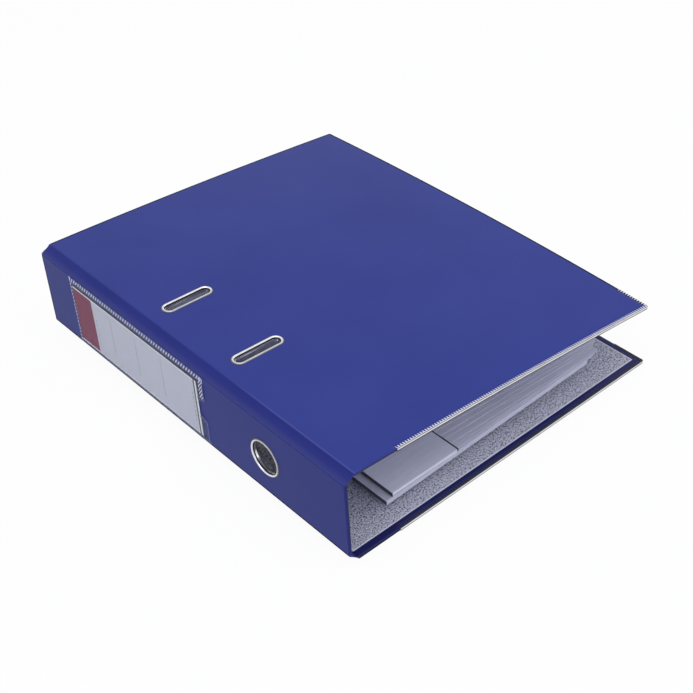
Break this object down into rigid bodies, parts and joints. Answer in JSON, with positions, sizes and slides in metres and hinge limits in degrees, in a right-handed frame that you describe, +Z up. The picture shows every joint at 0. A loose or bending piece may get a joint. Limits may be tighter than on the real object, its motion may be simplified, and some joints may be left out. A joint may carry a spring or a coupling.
{
  "type": "lever arch file",
  "caption": "Lever arch file lying closed: hinged spine and covers, slotted front cover, finger ring, label pocket and a lever-worked arch mechanism holding divider cards.",
  "frame": {"origin": "bottom centre of the closed file, on the outer face of the rear cover", "axes": "+X from the spine to the fore-edge, +Y from the foot to the head, +Z up from the rear cover to the front cover"},
  "size_m": [0.286, 0.345, 0.075],
  "materials": {
    "blue_covering": "satin",
    "greyboard": "matt",
    "speckled_paper": "matt",
    "nickel": "nickel plated",
    "spring_steel": "bright drawn",
    "clear_film": "clear",
    "label_card": "matt",
    "black_plastic": "satin",
    "divider_card": "matt"
  },
  "bodies": {
    "rear_cover": {"rear_board": "greyboard", "rear_covering": "blue_covering", "rear_lining": "speckled_paper", "rear_edge_rail": "nickel", "rear_joint_strip": "blue_covering", "base_plate": "nickel", "base_rivet_1": "nickel", "base_rivet_2": "nickel", "base_rivet_3": "nickel", "base_rivet_4": "nickel", "fixed_post_foot": "nickel", "fixed_post_head": "nickel", "shaft_saddle_foot": "nickel", "shaft_saddle_head": "nickel", "lever_bracket": "nickel", "lever_pivot_pin": "nickel", "arch_spring": "spring_steel", "divider_set_lower": "divider_card", "divider_set_upper": "divider_card"},
    "spine": {"spine_board": "greyboard", "spine_covering": "blue_covering", "spine_lining": "speckled_paper", "front_joint_strip": "blue_covering", "finger_ring": "nickel", "label_pocket": "clear_film"},
    "front_cover": {"front_board": "greyboard", "front_covering": "blue_covering", "front_lining": "speckled_paper", "front_edge_rail": "nickel", "slot_eyelet_foot": "nickel", "slot_eyelet_head": "nickel"},
    "label": {"label_card": "label_card"},
    "arch": {"arch_wire": "nickel"},
    "lever": {"lever": "nickel", "lever_cam_pin": "nickel", "lever_grip": "black_plastic"},
    "compressor": {"compressor_bar": "nickel"}
  },
  "joints": [
    {"name": "spine_hinge", "type": "hinge", "parent": "rear_cover", "child": "spine", "pos_m": [-0.1384, 0, 0.0046], "axis": [0, -1, 0], "range_deg": [0, 90], "deforming": ["rear_joint_strip"]},
    {"name": "front_cover_hinge", "type": "hinge", "parent": "spine", "child": "front_cover", "pos_m": [-0.1384, 0, 0.07074], "axis": [0, -1, 0], "range_deg": [0, 94.6], "deforming": ["front_joint_strip"]},
    {"name": "lever_lift", "type": "hinge", "parent": "rear_cover", "child": "lever", "pos_m": [-0.101, 0.0175, 0.02095], "axis": [-1, 0, 0], "range_deg": [0, 55]},
    {"name": "arch_swing", "type": "hinge", "parent": "rear_cover", "child": "arch", "pos_m": [-0.109, 0.0035, 0.01235], "axis": [0, -1, 0], "range_deg": [0, 28]},
    {"name": "compressor_slide", "type": "slide", "parent": "rear_cover", "child": "compressor", "axis": [0, 0, 1], "range_m": [0, 0.027]},
    {"name": "label_slide", "type": "slide", "parent": "spine", "child": "label", "axis": [0, -1, 0], "range_m": [0, 0.045]}
  ],
  "couplings": [
    {"joint": "arch_swing", "follows": "lever_lift", "ratio": 0.509}
  ]
}
